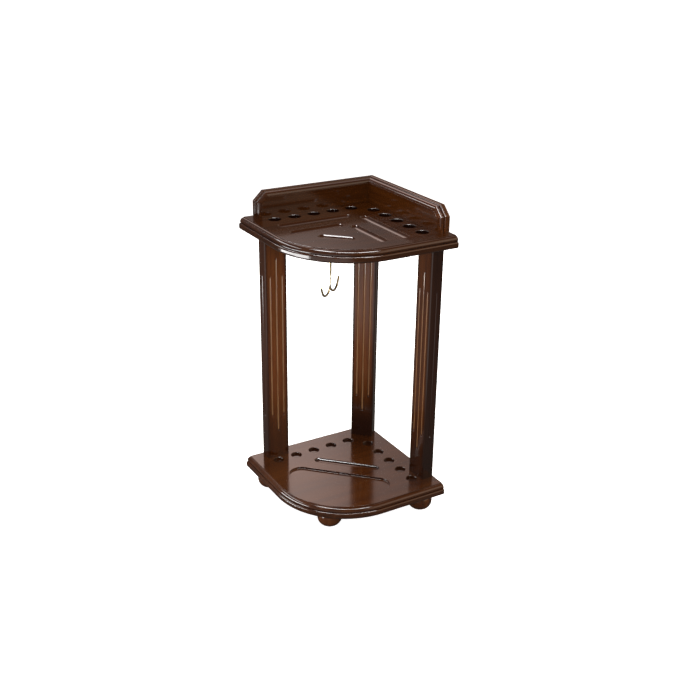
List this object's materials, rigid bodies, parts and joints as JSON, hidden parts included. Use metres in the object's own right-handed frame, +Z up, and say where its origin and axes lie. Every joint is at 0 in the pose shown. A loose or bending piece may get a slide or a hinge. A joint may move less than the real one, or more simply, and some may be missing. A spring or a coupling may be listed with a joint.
{
  "type": "cue rack",
  "caption": "Floor-standing corner cue rack: two moulded shelves on three fluted posts, cue holes along both walls, ball grooves, bun feet and a swivel double hook.",
  "frame": {"origin": "middle of the footprint square at floor level, under the felt pads", "axes": "+Z up; the two wall sides face +Y and +X and meet at the rear corner, and the rounded front faces -X -Y"},
  "size_m": [0.432, 0.432, 0.9125],
  "materials": {
    "chestnut_wood": "chestnut stain under gloss lacquer",
    "dowel_wood": "plain beech",
    "plated_steel": "zinc plated",
    "polished_brass": "polished",
    "felt": "pressed felt"
  },
  "bodies": {
    "rack": {"top_shelf": "chestnut_wood", "bottom_shelf": "chestnut_wood", "left_post": "chestnut_wood", "right_post": "chestnut_wood", "rear_post": "chestnut_wood", "left_gallery_board": "chestnut_wood", "right_gallery_board": "chestnut_wood", "left_foot": "chestnut_wood", "right_foot": "chestnut_wood", "front_foot": "chestnut_wood", "rear_foot": "chestnut_wood", "upper_post_dowels": "dowel_wood", "lower_post_dowels": "dowel_wood", "gallery_mitre_dowels": "dowel_wood", "foot_hanger_bolts": "plated_steel", "foot_insert_nuts": "plated_steel", "upper_post_screws": "plated_steel", "lower_post_screws": "plated_steel", "gallery_screws": "plated_steel", "hook_flange": "polished_brass", "hook_sleeve": "polished_brass", "hook_wood_screw": "polished_brass", "foot_pads": "felt"},
    "hook": {"double_hook": "polished_brass"}
  },
  "joints": [
    {"name": "hook_swivel", "type": "hinge", "parent": "rack", "child": "hook", "pos_m": [-0.115, -0.115, 0.7605], "axis": [0, 0, 1], "continuous": true}
  ]
}
